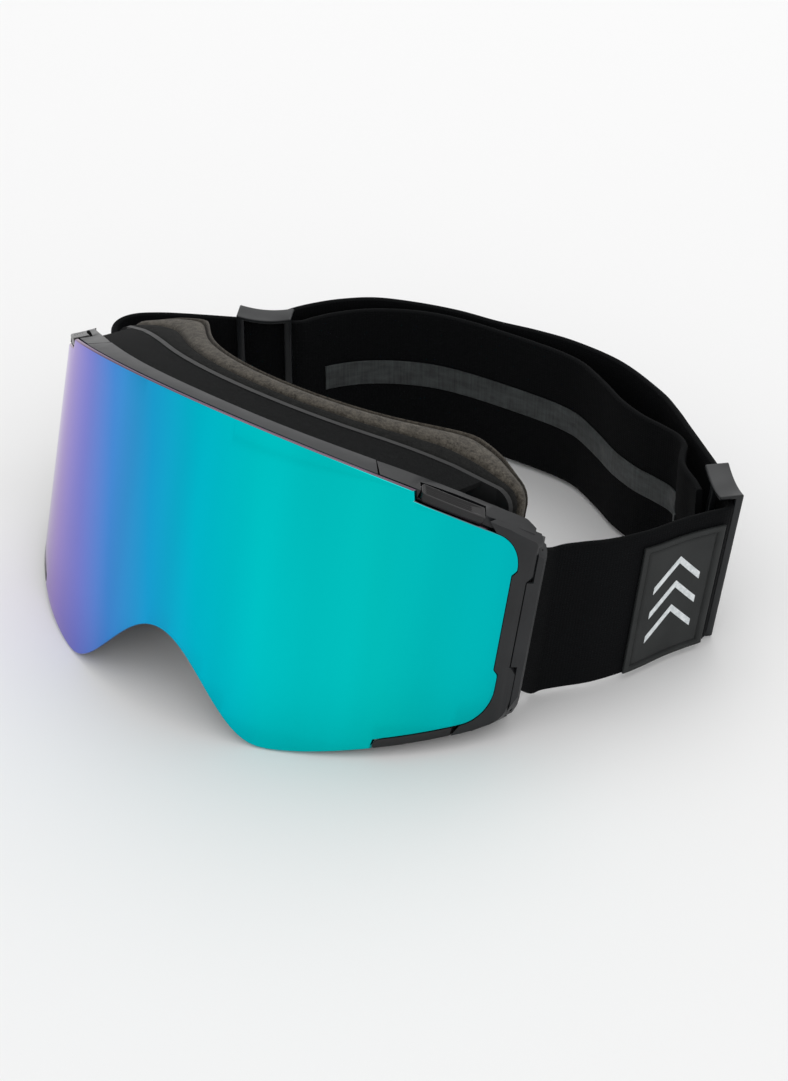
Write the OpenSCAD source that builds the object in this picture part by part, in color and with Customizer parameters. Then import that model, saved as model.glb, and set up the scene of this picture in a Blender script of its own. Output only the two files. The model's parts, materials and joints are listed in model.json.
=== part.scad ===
// Ski goggles with a quick-change cylindrical lens, face foam and a double-slider elastic strap.
// The goggles stand on a table, leaning back on their face foam, with the strap on its edge behind.
// +X is the wearer's left, -Y is the way the wearer looks, +Z is up from the table.

/* [Lens] */
// Radius of the outer lens face
lens_r = 102.8; // [100:0.1:106]
// Height of the lens's upper edge at the middle, measured along the lens
lens_top = 99.9; // [97:0.1:103]
// Fall of the upper edge from the middle to the corner of a 60 mm arc
brow_fall = 6.8; // [5:0.1:8]
// Height of the top of the nose arch
nose_top = 27.3; // [22:0.1:32]
// Half width of the nose arch, along the lens
nose_half = 38; // [34:1:42]
// Arc length from the middle of the lens to each end
lens_end = 104.5; // [103:0.1:106]
// Thickness of the outer lens
lens_t = 1.4; // [1:0.1:1.6]
// Thickness of the inner lens
inner_lens_t = 1; // [0.8:0.1:1.2]

/* [Frame] */
// Backward lean of the goggles on the table, in degrees
lean = 14.5; // [12:0.5:16]
// Depth of the rigid frame behind the lens face
frame_depth = 8.3; // [7.5:0.1:9]
// Arc position of the seam between the top bar and each end frame
seam_arc = 58.7; // [56:0.1:62]
// Height of the rim that stands round each lens end
rim_h = 3; // [2.8:0.1:3.2]

/* [Foam] */
// Half width of the face foam
foam_half = 76; // [74:1:77]
// Width of the foam ring, seen from the front
foam_w = 12; // [10:1:14]

/* [Strap] */
// Width of the elastic strap
strap_w = 48; // [45:1:50]
// Thickness of the elastic strap
strap_t = 2; // [1.6:0.1:2.2]
// Height of the strap's lower edge above the table
strap_z = 1.6; // [1.5:0.1:2]

/* [Hidden] */

clear_end = 112; // An end arc that leaves every outline whole

// Middle of the whole object's box on the table, which is the origin
origin_x = 6.18;
origin_y = 94.34;
// Lifts the leaning front so that its lowest edge just clears the table
front_lift = 0.55;

step_arc = 70.2;        // arc position where the rim starts to stand round the lens
corner_r = 12;          // radius of the lens corners
notch_in = 1.5;         // depth of the notch in each lens end
notch_low = 36;
notch_high = 66.5;
gap = 0.3;              // clearance between pieces that move past each other
rim_back = 3;           // depth at which the magnet rim ends
rim_in = 4.2;           // how far the magnet rim sits inside the lens edge
rim_w = 5;              // width of the magnet rim
inner_in = rim_in + rim_w + 0.2;    // how far the inner lens sits inside the lens edge
spacer_t = 3;           // thickness of the foam spacer between the lenses
spacer_w = 2.2;
magnet_r = 1.6;
magnet_in = 6.2;        // how far the magnets sit inside the lens edge
magnet_arcs = [26, 62, 86];
sheet_h = 130;          // taller than anything cut out of it

// ---------- curves of the lens ----------

// Height of the upper edge at an arc position
function top(s) = lens_top - brow_fall * pow(s / 60, 2);

// Height of the lower edge: a cosine arch over the nose, then a slow rise towards the corner
cheek_low = 1.9;
function bottom(s) = abs(s) < nose_half
    ? cheek_low + (nose_top - cheek_low) * (1 + cos(180 * s / nose_half)) / 2
    : cheek_low + 0.28 * pow(abs(s) - nose_half, 2) / (abs(s) - nose_half + 12);

// Angle round the lens axis, distance across and distance back of an arc position
function turn(s) = s / lens_r * 180 / PI;
function across(s, depth = 0) = (lens_r - depth) * sin(turn(s));
function back(s, depth = 0) = lens_r - (lens_r - depth) * cos(turn(s));
function arc_at(x) = lens_r * asin(x / lens_r) * PI / 180;
function top_at(x) = top(arc_at(x));
function bottom_at(x) = bottom(arc_at(x));

function arc_points(cx, cy, r, from, to, n = 8) =
    [for (i = [0:n]) let (a = from + (to - from) * i / n) [cx + r * cos(a), cy + r * sin(a)]];
function mirrored(points) =
    [for (i = [len(points) - 1:-1:0]) if (points[i][0] > 0.01) [-points[i][0], points[i][1]]];
function both_sides(half) = concat(half, mirrored(half));

// Right half of the lens outline as arc position and height, from the nose round to the brow.
// grow moves the framed end outwards; inset moves the frameless middle edges inwards.
// Only the outlines of the lens and of the strip beside it follow the notches.
function lens_half(grow, inset) =
    let (end = lens_end + grow, r = corner_r + grow, cs = end - r, step = step_arc + min(grow, 0) / 2,
         low = bottom(cs) + rim_h - grow + r / cos(15), high = top(cs) - rim_h + grow - r / cos(17))
    concat(
        [for (s = [0:4:36]) [s, bottom(s) + inset]],
        [for (s = [42:7:63]) [s, bottom(s) + inset]],
        [[step, bottom(step) + inset], [step + 0.4, bottom(step) + rim_h - grow]],
        [for (s = [78:7:85]) [s, bottom(s) + rim_h - grow]],
        arc_points(cs, low, r, -75, 0),
        grow > -0.3 ? [[end, notch_low - notch_in + grow], [end - notch_in, notch_low + grow],
                     [end - notch_in, notch_high - grow], [end, notch_high + notch_in - grow]] : [],
        arc_points(cs, high, r, 0, 73),
        [for (s = [85:-7:78]) [s, top(s) - rim_h + grow]],
        [[step + 0.4, top(step) - rim_h + grow], [step, top(step) - inset]],
        [for (s = [63:-7:0]) [s, top(s) - inset]]);

// Turns an outline of arc positions and heights into one seen straight from the front
function seen(outline) = [for (p = outline) [across(p[0]), p[1]]];

// ---------- building blocks ----------

// Stands the front of the goggles on the table, leaning back
module leaning() {
    translate([-origin_x, -origin_y, front_lift]) rotate([-lean, 0, 0]) children();
}

module lying() {
    translate([-origin_x, -origin_y, 0]) children();
}

// An outline seen from the front, cut right through from front to back
module through(outline) {
    translate([0, 110, 0]) rotate([90, 0, 0]) linear_extrude(120) polygon(outline);
}

// A piece of the lens cylinder between two depths behind the lens face, cut square at both end arcs
module shell(front, rear, end) {
    corner = 3 * lens_r * [sin(turn(end)), -cos(turn(end))];
    translate([0, lens_r, 0]) intersection() {
        difference() {
            cylinder(h = sheet_h, r = lens_r - front, $fn = 180);
            translate([0, 0, -1]) cylinder(h = sheet_h + 2, r = lens_r - rear, $fn = 180);
        }
        linear_extrude(sheet_h) polygon([[0, 0], [-corner[0], corner[1]], corner]);
    }
}

// Such a piece inside an outline
module sheet(front, rear, outline, end = lens_end) {
    intersection() {
        shell(front, rear, end);
        through(outline);
    }
}

// A ring between two outlines
module ring(front, rear, outer, inner, end) {
    difference() {
        sheet(front, rear, outer, end);
        translate([0, -1, 0]) through(inner);
    }
}

// A solid with one outline from above and another from the front
module panel(plan, elevation) {
    intersection() {
        linear_extrude(sheet_h) polygon(plan);
        through(elevation);
    }
}

// Puts +Z at the lens face pointing outwards, at an arc position and height
module on_lens(s, h, depth = 0) {
    translate([across(s, depth), back(s, depth), h]) rotate([0, 0, turn(s)]) rotate([90, 0, 0]) children();
}

module both(right) {
    if (right) mirror([1, 0, 0]) children();
    else children();
}

// ---------- lens ----------

lens_outline = seen(both_sides(lens_half(0, 0)));
rim_outer = seen(both_sides(lens_half(-rim_in, rim_in)));
rim_inner = seen(both_sides(lens_half(-rim_in - rim_w, rim_in + rim_w)));
inner_outline = seen(both_sides(lens_half(-inner_in, inner_in)));
spacer_inner = seen(both_sides(lens_half(-inner_in - spacer_w, inner_in + spacer_w)));

// Every magnet's place: on both sides, along the upper and the lower edge
module magnet_places(depth) {
    for (side = [-1, 1], s = magnet_arcs) {
        framed = s > step_arc ? rim_h : 0;
        on_lens(side * s, top(s) - magnet_in - framed, depth) children();
        if (s > nose_half) on_lens(side * s, bottom(s) + magnet_in + framed, depth) children();
    }
}

module outer_lens() {
    color("mediumturquoise") leaning() sheet(0, lens_t, lens_outline);
}

module lens_rim() {
    color("#1a1a1a") leaning() difference() {
        ring(lens_t, rim_back, rim_outer, rim_inner, lens_end - rim_in);
        magnet_places(rim_back + 1) cylinder(h = 4, r = magnet_r + 0.05, $fn = 32);
    }
}

module lens_magnets() {
    color("silver") leaning() magnet_places(rim_back) cylinder(h = 1.4, r = magnet_r, $fn = 32);
}

module lens_spacer() {
    color("#2b2b2b") leaning() ring(lens_t, lens_t + spacer_t, inner_outline, spacer_inner, clear_end);
}

module inner_lens() {
    color("lightcyan", 0.4) leaning()
        sheet(lens_t + spacer_t, lens_t + spacer_t + inner_lens_t, inner_outline, clear_end);
}

// ---------- plan curves of the face side ----------

// Front of the foam: an arc over the brow, then a straight run to the temple
brow_y = 25.5;
front_r = 75;
front_turn = 32;
temple_y = 58;
function arc_then_line(x, r, a) = abs(x) < r * sin(a)
    ? r - sqrt(r * r - x * x)
    : r - r * cos(a) + (abs(x) - r * sin(a)) * tan(a);
function foam_front(x) = min(brow_y + arc_then_line(x, front_r, front_turn), temple_y);

// Back of the foam: it follows the forehead, is flat at the temple and falls away at its end
forehead_y = 39.5;
forehead_r = 55;
forehead_turn = 48;
temple_back = 70.5;
function foam_back(x) =
    min(forehead_y + arc_then_line(x, forehead_r, forehead_turn), temple_back - 0.32 * max(abs(x) - 62, 0));
function between_foam(x, k) = foam_front(x) + (foam_back(x) - foam_front(x)) * k;

foam_steps = [-80:4:80];
foam_steps_back = [80:-4:-80];

// ---------- face frame and foam ----------

foam_drop = 2.2;        // the foam's top lies this much below the brow line
foam_low = 14;
foam_nose_top = 38;
foam_nose_half = 27;

function foam_bottom(x) = abs(x) < foam_nose_half
    ? foam_low + (foam_nose_top - foam_low) * (1 + cos(180 * x / foam_nose_half)) / 2
    : foam_low;

// Right half of the foam outline from the nose round to the brow, moved inwards by inset
function foam_half_outline(inset) =
    let (edge = foam_half - inset, high_r = max(6 - inset, 2), low_r = max(14 - inset, 4),
         high = top_at(foam_half - 6) - foam_drop - inset - high_r - 0.6)
    concat(
        [for (x = [0:3:27]) [x, foam_bottom(x) + inset]],
        arc_points(edge - low_r, foam_low + inset + low_r, low_r, -90, 0),
        arc_points(edge - high_r, high, high_r, 0, 66, 5),
        [for (x = [60:-6:0]) [x, top_at(x) - foam_drop - inset]]);

foam_outer = both_sides(foam_half_outline(0));
foam_inner = both_sides(foam_half_outline(foam_w));

module above_table() {
    intersection() {
        children();
        translate([-150, -150, 0]) cube([300, 400, 150]);
    }
}

// One layer of the face ring between two plan curves
module face_layer(plan, outer, inner) {
    above_table() leaning() difference() {
        panel(plan, outer);
        translate([0, 1, 0]) through(inner);
    }
}

fleece_t = 1.6;
base_share = 0.45;      // share of the foam's depth that the firm base layer takes

module face_frame() {
    color("#202020") face_layer(
        concat([for (x = foam_steps) [x, foam_front(x) - 2]], [for (x = foam_steps_back) [x, foam_front(x)]]),
        both_sides(foam_half_outline(-0.6)), both_sides(foam_half_outline(foam_w - 1)));
}

module base_foam() {
    color("#4a4640") face_layer(
        concat([for (x = foam_steps) [x, foam_front(x)]],
               [for (x = foam_steps_back) [x, between_foam(x, base_share)]]),
        foam_outer, foam_inner);
}

module cushion_foam() {
    color("#5d574f") face_layer(
        concat([for (x = foam_steps) [x, between_foam(x, base_share)]],
               [for (x = foam_steps_back) [x, foam_back(x) - fleece_t]]),
        foam_outer, foam_inner);
}

module fleece_liner() {
    color("#2f2d2a") face_layer(
        concat([for (x = foam_steps) [x, foam_back(x) - fleece_t]],
               [for (x = foam_steps_back) [x, foam_back(x)]]),
        foam_outer, foam_inner);
}

// ---------- main frame ----------

// Back edge of the frame's upper face: it gets deeper towards the ends
function bar_back(x) = back(arc_at(x)) + 7.6 + 3.4 * pow(sin(min(abs(x), 70) / 70 * 90), 4);
seam_x = across(seam_arc);
arm_end_x = 84;
frame_outer = seen(both_sides(lens_half(-0.4, rim_h + 0.4)));
frame_inner = seen(both_sides(lens_half(-inner_in + 1, inner_in - 1)));

// The frame's lower wall, from the lens ring up to the height of the face foam
sill_outline = concat([for (x = [-62:4:62]) [x, bottom_at(x) + rim_h + 0.5]],
                      [for (x = [62:-4:-62]) [x, foam_bottom(x) + 0.5]]);

strut_w = 3;
top_struts = [14, 42, 64];
bottom_struts = [40, 58];

// A rib that joins the lens ring to the face frame, with its heights at the front and the rear
module strut(x, front_low, front_high, rear_low, rear_high) {
    start = back(arc_at(x)) + frame_depth - 1.5;
    end = min(foam_front(x - strut_w / 2), foam_front(x + strut_w / 2)) - 2.3;
    translate([x - strut_w / 2, 0, 0]) rotate([90, 0, 90]) linear_extrude(strut_w)
        polygon([[start, front_low], [end, rear_low], [end, rear_high], [start, front_high]]);
}

module top_bar() {
    end = seam_x - 0.15;
    slant = seam_x - 5;
    panel(
        concat([[-end, back(seam_arc) + 1.9]],
               [for (x = [-52:4:52]) [x, back(arc_at(x)) + 1.8]],
               [[end, back(seam_arc) + 1.9], [slant, bar_back(slant)]],
               [for (x = [48:-4:-48]) [x, bar_back(x)]],
               [[-slant, bar_back(slant)]]),
        concat([for (x = [-60:4:60]) [x, top_at(x)]],
               [for (x = [60:-4:-60]) [x, top_at(x) - rim_h - 0.9]]));
}

module main_frame() {
    color("#3c3e40") leaning() difference() {
        union() {
            ring(rim_back + gap, frame_depth, frame_outer, frame_inner, lens_end - 0.4);
            top_bar();
            sheet(frame_depth - 1.5, frame_depth, sill_outline);
            for (side = [-1, 1]) {
                for (x = top_struts)
                    strut(side * x, top_at(x) - 7.2, top_at(x) - 4.2, top_at(x) - 7.2, top_at(x) - 4.2);
                for (x = bottom_struts)
                    strut(side * x, bottom_at(x) + 4.2, bottom_at(x) + 6.8, foam_low + 1, foam_low + 4);
            }
        }
        magnet_places(rim_back + gap + 1.5) cylinder(h = 4, r = magnet_r + 0.05, $fn = 32);
    }
}

module frame_magnets() {
    color("silver") leaning() magnet_places(rim_back + gap + 1.45) cylinder(h = 1.4, r = magnet_r, $fn = 32);
}

vent_steps = [-68:4:68];
vent_steps_back = [68:-4:-68];

module top_vent_foam() {
    color("#151515") leaning() panel(
        concat([for (x = vent_steps) [x, bar_back(x) + 0.3]],
               [for (x = vent_steps_back) [x, foam_front(x) - 2.2]]),
        concat([for (x = vent_steps) [x, top_at(x) - 3.3]], [for (x = vent_steps_back) [x, top_at(x) - 1.8]]));
}

module bottom_vent_foam() {
    color("#151515") leaning() panel(
        concat([for (x = vent_steps) [x, back(arc_at(x)) + frame_depth + 0.3]],
               [for (x = vent_steps_back) [x, foam_front(x) - 2.2]]),
        concat([for (x = [-56:4:56]) [x, foam_bottom(x) + 5]], [for (x = [56:-4:-56]) [x, foam_bottom(x) + 7]]));
}

// ---------- end frames ----------

end_y = 55.5;           // back of each end frame's wall
post_x = 81.6;
post_y = 62;
post_r = 2;
lug_low = 21;
lug_high = 73.4;
lug_t = 3;
strip_t = 3.2;          // thickness of the strip beside the lens
groove_in = 108;        // arc position of the groove in front of the side cover
tab_arc = 82.4;
tab_half = 10.0;
tab_y = 4.3;            // depth of the tab's hinge pin
tab_z = -1.4;
tab_t = 2.45;
tab_slope = 17.15;      // fall of the brow line where the tab is
tab_tilt = 17.4;        // rise of the frame's upper face towards the rear
tab_pin_r = 0.6;
barrel_r = 1.35;
spring_half = 2;

// Outline of the strip round the lens end, as arc position and height
strip_outline = let (hole = lens_half(0.25, 0), from = 93.5)
    seen(concat(
        [[from, bottom(from)], [100, bottom(100)]],
        arc_points(102.6, 25.2, 7.3, -70, -10, 5),
        [[110.3, 26], [110.3, 34.4], [groove_in, 36.7], [groove_in, 64.2], [109.8, 66], [109.8, 74.5]],
        arc_points(107.8, 75.2, 2, 0, 65, 3),
        [[100, top(100)], [from, top(from)]],
        [for (i = [len(hole) - 1:-1:0]) if (hole[i][0] > 87 && hole[i][1] > 50) [max(hole[i][0], from), hole[i][1]]],
        [for (i = [len(hole) - 1:-1:0]) if (hole[i][0] > 87 && hole[i][1] < 50) [max(hole[i][0], from), hole[i][1]]]));

// Local frame of the release tab: X along the brow line, Y to the rear, Z off the upper face
module at_tab() {
    translate([across(tab_arc), back(tab_arc), top(tab_arc)])
        rotate([0, 0, turn(tab_arc)]) rotate([0, tab_slope, 0]) rotate([tab_tilt, 0, 0]) children();
}

module along_pin(length, r) {
    translate([-length / 2, tab_y, tab_z]) rotate([0, 90, 0]) cylinder(h = length, r = r, $fn = 32);
}

module end_arm() {
    plan = concat([for (s = [seam_arc + 1.5, 64, 70, 76, 82, 88, 94, 100, 104]) [across(s, 1.8), back(s, 1.8)]],
                  [[88, 53.5], [87, end_y]],
                  [for (x = [84:-4:56]) [x, min(bar_back(x), end_y)]],
                  [[seam_x - 4.6, bar_back(seam_x - 5)]]);
    panel(plan, concat([for (x = [50:4:90]) [x, top_at(x) - rim_h]], [for (x = [90:-4:50]) [x, top_at(x)]]));
}

// The wall behind the strip, which carries the two lugs of the strap post
module end_wall() {
    wall = [[across(104.75), back(104.75)], [across(107.7), back(107.7)],
            [across(107.7, 2.6), back(107.7, 2.6)], [86.8, end_y], [78.5, end_y],
            [across(104.75, 8.7), back(104.75, 8.7)]];
    lug = [[78.4, end_y - 0.5], [86.4, end_y - 0.5], [86.4, 62], [84.6, 65.4], [78.6, 65.4], [78.4, 62]];
    translate([0, 0, lug_low]) linear_extrude(lug_high - lug_low) polygon(wall);
    for (h = [lug_low, lug_high - lug_t]) translate([0, 0, h]) linear_extrude(lug_t) polygon(lug);
}

module end_frame(right) {
    rail = function(from, to) seen(concat([for (s = [from:8:to]) [s, bottom(s)]],
                                          [for (s = [to:-8:from]) [s, bottom(s) + rim_h - 0.1]]));
    color("#2e2f31") leaning() both(right) difference() {
        union() {
            sheet(0, strip_t, strip_outline, clear_end);
            sheet(5.2, 7.6, rail(70.6, 102.6));
            sheet(strip_t - 0.1, 5.3, rail(94.6, 102.6));
            end_arm();
            end_wall();
        }
        at_tab() translate([-tab_half - gap, -3, -tab_t - gap]) cube([2 * (tab_half + gap), 9.2, 9]);
        at_tab() along_pin(2 * tab_half + 5, tab_pin_r + 0.02);
        translate([post_x, post_y, lug_low + 0.6])
            cylinder(h = lug_high - lug_low - 1.2, r = post_r + 0.02, $fn = 48);
        translate([cover_screw_x, cover_screw_y, lug_low - 1]) cylinder(h = 3.2, r = 0.9, $fn = 32);
        cover_room();
    }
}

module release_tab(right) {
    ribs = [2.2, 2.9, 3.6];
    color("#26272a") leaning() both(right) intersection() {
        at_tab() difference() {
            union() {
                translate([-tab_half, -3, -tab_t]) cube([2 * tab_half, 3 + tab_y, tab_t]);
                along_pin(2 * tab_half, barrel_r);
            }
            difference() {
                translate([-8, 1.8, -0.7]) cube([16, 2.2, 2]);
                for (y = ribs) translate([-8, y - 0.15, -0.7]) cube([16, 0.3, 0.5]);
            }
            along_pin(2 * tab_half + 2, tab_pin_r + 0.05);
            translate([-spring_half - 0.4, tab_y - 1.7, tab_z - 3]) cube([2 * spring_half + 0.8, 5, 6]);
        }
        translate([0, lens_r, 0]) cylinder(h = sheet_h, r = lens_r, $fn = 180);
    }
}

module tab_pin(right) {
    color("silver") leaning() both(right) at_tab() along_pin(2 * tab_half + 3.6, tab_pin_r);
}

module tab_spring(right) {
    color("gray") leaning() both(right) at_tab() difference() {
        along_pin(2 * spring_half, 1.15);
        along_pin(2 * spring_half + 1, tab_pin_r + 0.05);
    }
}

module lower_catch(right) {
    catch = concat([for (s = [71.2, 78, 86, 93.2]) [s, bottom(s)]],
                   [for (s = [93.2, 86, 78, 72]) [s, bottom(s) + rim_h - 0.2]],
                   [[70.9, bottom(71) + rim_h - 1.2], [70.7, bottom(71) + 1]]);
    color("#26272a") leaning() both(right) sheet(0, 5, seen(catch));
}

// ---------- side covers and strap posts ----------

cover_low = 19.6;
cover_high = 74.8;
cover_screw_x = 84;
cover_screw_y = 58;

// Outline of the side cover from above; front is its first edge, behind the groove
function cover_plan(front) = concat(front, [
    [91.6, 55.4], [91.3, 57], [90.2, 58.4], [88.9, 59.2], [88.2, 58.4], [89.3, 57.4], [89.9, 56.6], [89.5, 56], [88.2, 56]]);

// Room behind the strip for the side cover, whose front edge reaches further in along the groove
module cover_room() {
    beyond = [[95, 50], [95, 66]];
    translate([0, 0, 36.8]) linear_extrude(27.4)
        polygon(concat([[87.15, 66], [87.15, 55.4], [86.95, 53.3], [across(groove_in), back(groove_in)]], beyond));
    translate([0, 0, cover_low - 0.2]) linear_extrude(cover_high - cover_low + 0.4)
        polygon(concat([[87.95, 66], [87.95, 55.1], [90.4, 53.6]], beyond));
}

module side_cover(right) {
    cap = [[80, 56], [89.5, 56], [89.6, 57.6], [88, 59.4], [86.6, 62], [80, 62]];
    face = [[79, cover_low], [88.6, cover_low], [90.6, 24], [92.5, 30], [92.5, 70.5], [88.5, cover_high],
            [79, cover_high]];
    wide = cover_plan([[87.3, 55], [87.1, 53.4], [across(groove_in + 0.4), back(groove_in + 0.4)], [90.4, 53.5]]);
    narrow = cover_plan([[88.1, 55.2], [90.5, 53.8]]);
    color("#232426") leaning() both(right) difference() {
        intersection() {
            union() {
                translate([0, 0, 37]) linear_extrude(27) polygon(wide);
                for (span = [[cover_low, 37.1], [63.9, cover_high]])
                    translate([0, 0, span[0]]) linear_extrude(span[1] - span[0]) polygon(narrow);
                translate([0, 0, cover_low]) linear_extrude(1.4) polygon(cap);
                translate([0, 0, lug_high + 0.1]) linear_extrude(cover_high - lug_high - 0.1) polygon(cap);
            }
            through(face);
        }
        translate([cover_screw_x, cover_screw_y, cover_low - 1]) cylinder(h = 4, r = 1.05, $fn = 32);
        translate([cover_screw_x, cover_screw_y, cover_low - 1]) cylinder(h = 1.8, r = 2, $fn = 32);
    }
}

module strap_post(right) {
    color("silver") leaning() both(right) translate([post_x, post_y, lug_low + 0.7])
        cylinder(h = lug_high - lug_low - 1.4, r = post_r, $fn = 48);
}

module cover_screws() {
    color("silver") leaning() for (right = [true, false]) both(right)
        translate([cover_screw_x, cover_screw_y, 0]) {
            translate([0, 0, cover_low + 0.1]) cylinder(h = 0.65, r = 1.8, $fn = 32);
            translate([0, 0, cover_low + 0.1]) cylinder(h = 3.4, r = 0.88, $fn = 32);
        }
}

// ---------- straps ----------

// Where each slider sits on the band, and the direction it slides in, as seen from above
slider_left_at = [105.5, 141.2];
slider_left_turn = 138;
slider_right_at = [-64, 130.8];
slider_right_turn = 211;
function way(turn) = [cos(turn), sin(turn)];
function on_slider(at, turn, distance) = at + distance * way(turn);

// Route of the left strap's middle line: frame, left slider, round the outside, right slider
left_route = [
    [84.9, 80.5], [86.6, 84], [90.2, 88.7], [96, 96], [101.5, 106.5], [105.4, 118], [108.6, 125.4], [110.8, 129.8],
    [112.1, 132.2], [112.4, 134.2], on_slider(slider_left_at, slider_left_turn, -8),
    on_slider(slider_left_at, slider_left_turn, -5), on_slider(slider_left_at, slider_left_turn, 6),
    on_slider(slider_left_at, slider_left_turn, 22), [80.5, 163], [71, 169.5], [61, 175], [42, 181.5],
    [24, 182.5], [10, 180.5], [-4, 177], [-18, 174.5], [-32, 170], [-44.5, 164], [-53, 156], [-58.5, 148],
    [-61.8, 141], [-62.7, 135.6]];

// Route of the right strap's middle line: frame, right slider, slack round the inside, left slider
right_route = [
    [-84.9, 80.5], [-87.5, 83.5], [-94, 88], [-99.6, 94], [-101.3, 100], [-99.6, 105.5], [-95, 110.8],
    on_slider(slider_right_at, slider_right_turn, 28), on_slider(slider_right_at, slider_right_turn, 9),
    on_slider(slider_right_at, slider_right_turn, -4.5), on_slider(slider_right_at, slider_right_turn, -8),
    [-54.2, 137.4], [-52.4, 141.6], [-49, 148], [-42.6, 156],
    [-33.6, 163], [-23, 168.3], [-11, 171.3], [4, 173.2], [15.4, 174.2], [24, 174.5], [32, 173.6], [38.8, 171],
    [46, 167.6], [55, 163], [64.6, 160], [73, 158.9], [79.8, 157.6], [84.3, 154.6], [86.3, 150.6],
    [88.6, 146.8], [92.4, 143.3], [97.4, 140.2], [101.6, 136.8]];

bits = 6;               // pieces each stretch of a route is divided into
function curve(p) = concat(
    [for (i = [0:len(p) - 2]) let (a = p[max(i - 1, 0)], b = p[i], c = p[i + 1], d = p[min(i + 2, len(p) - 1)])
        for (k = [0:bits - 1]) let (t = k / bits)
            (2 * b + (c - a) * t + (2 * a - 5 * b + 4 * c - d) * t * t + (3 * b - a - 3 * c + d) * t * t * t) / 2],
    [p[len(p) - 1]]);
function square_to(path, i) =
    let (d = path[min(i + 1, len(path) - 1)] - path[max(i - 1, 0)]) [d[1], -d[0]] / norm(d);

left_path = curve(left_route);
right_path = curve(right_route);

// A flat band on its edge along part of a path, pushed sideways by offset_out
module band(path, thick, low, high, offset_out = 0, from = 0, to = -1) {
    last = to < 0 ? len(path) - 1 : to;
    translate([0, 0, low]) linear_extrude(high - low) polygon(concat(
        [for (i = [from:last]) path[i] + square_to(path, i) * (offset_out + thick / 2)],
        [for (i = [last:-1:from]) path[i] + square_to(path, i) * (offset_out - thick / 2)]));
}

// The loop sewn round the strap post, and the short run from it to the free band
module post_loop(right) {
    loop_low = 24.3;
    loop_high = 70;
    outer = post_r + 0.1 + strap_t;
    leaning() both(right) translate([0, 0, loop_low]) linear_extrude(loop_high - loop_low) difference() {
        translate([post_x, post_y]) circle(r = outer, $fn = 48);
        translate([post_x, post_y]) circle(r = post_r + 0.1, $fn = 48);
    }
    hull() {
        leaning() both(right) translate([post_x + outer - strap_t + 0.1, post_y - 0.4, loop_low + 0.1])
            cube([strap_t - 0.2, 1.5, loop_high - loop_low - 0.2]);
        lying() both(right) translate([84.9, 80.5, strap_z]) rotate([0, 0, -25])
            translate([-strap_t / 2, -0.5, 0]) cube([strap_t, 0.6, strap_w]);
    }
}

module strap_left() {
    color("#101214") {
        lying() band(left_path, strap_t, strap_z, strap_z + strap_w);
        post_loop(false);
    }
}

module strap_right() {
    color("#101214") {
        lying() band(right_path, strap_t, strap_z, strap_z + strap_w);
        post_loop(true);
    }
}

// Silicone stripe on the head side of the slack inner layer
module grip_stripe() {
    color("#35383a") lying()
        band(right_path, 0.4, 21.5, 30.5, strap_t / 2 + 0.2, from = 13 * bits, to = 29 * bits);
}

// Moulded patch with a raised border, on the outside of the left strap
module strap_patch() {
    patch_t = 1.2;
    border = 1.3;
    low = 5;
    high = 47;
    from = 4 * bits - 1;
    to = 8 * bits - 3;
    color("#3a3b3d") lying() difference() {
        band(left_path, patch_t, low, high, strap_t / 2 + patch_t / 2, from, to);
        band(left_path, patch_t, low + border, high - border, strap_t / 2 + patch_t * 1.2, from + 1, to - 1);
    }
}

// ---------- sliders ----------

slider_half = 9;
bar_w = 2.4;
rail_t = 1.3;
slider_high = strap_z + strap_w + 1.6;

// Three bars between two rails: two on one side of the band, the middle one on the other
module slider(at, turn, side) {
    color("#2a2b2d") lying() translate([at[0], at[1], 0]) rotate([0, 0, turn]) {
        for (z = [0, slider_high - rail_t]) translate([-slider_half, -3.7, z]) cube([2 * slider_half, 7.4, rail_t]);
        for (x = [-slider_half, slider_half - bar_w])
            translate([x, side * 2.5 - bar_w / 2, 0]) cube([bar_w, bar_w, slider_high]);
        translate([-bar_w / 2, -side * 2.5 - bar_w / 2, 0]) cube([bar_w, bar_w, slider_high]);
    }
}

module slider_left() {
    slider(slider_left_at, slider_left_turn, -1);
}

module slider_right() {
    slider(slider_right_at, slider_right_turn, 1);
}

// ---------- nodes ----------

outer_lens();
lens_rim();
lens_magnets();
lens_spacer();
inner_lens();
main_frame();
frame_magnets();
face_frame();
top_vent_foam();
bottom_vent_foam();
base_foam();
cushion_foam();
fleece_liner();
end_frame(false);  // end_frame_left
end_frame(true);  // end_frame_right
side_cover(false);  // side_cover_left
side_cover(true);  // side_cover_right
release_tab(false);  // release_tab_left
release_tab(true);  // release_tab_right
tab_pin(false);  // tab_pin_left
tab_pin(true);  // tab_pin_right
tab_spring(false);  // tab_spring_left
tab_spring(true);  // tab_spring_right
lower_catch(false);  // lower_catch_left
lower_catch(true);  // lower_catch_right
strap_post(false);  // strap_post_left
strap_post(true);  // strap_post_right
cover_screws();
strap_left();
strap_right();
grip_stripe();
strap_patch();
slider_left();
slider_right();
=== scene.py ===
"""Looks of a pair of ski goggles: mirrored lens, moulded frame, face foam and a woven strap.

Everything is in the row's frame, in metres. Shapes are worked out in millimetres from the same driving
sizes as the CAD, in a frame that stands on the lens's lowest point, and then moved by leaning() or lying().
"""
import json
import math

import bmesh
import bpy
import numpy as np
from mathutils import Matrix, Vector

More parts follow.
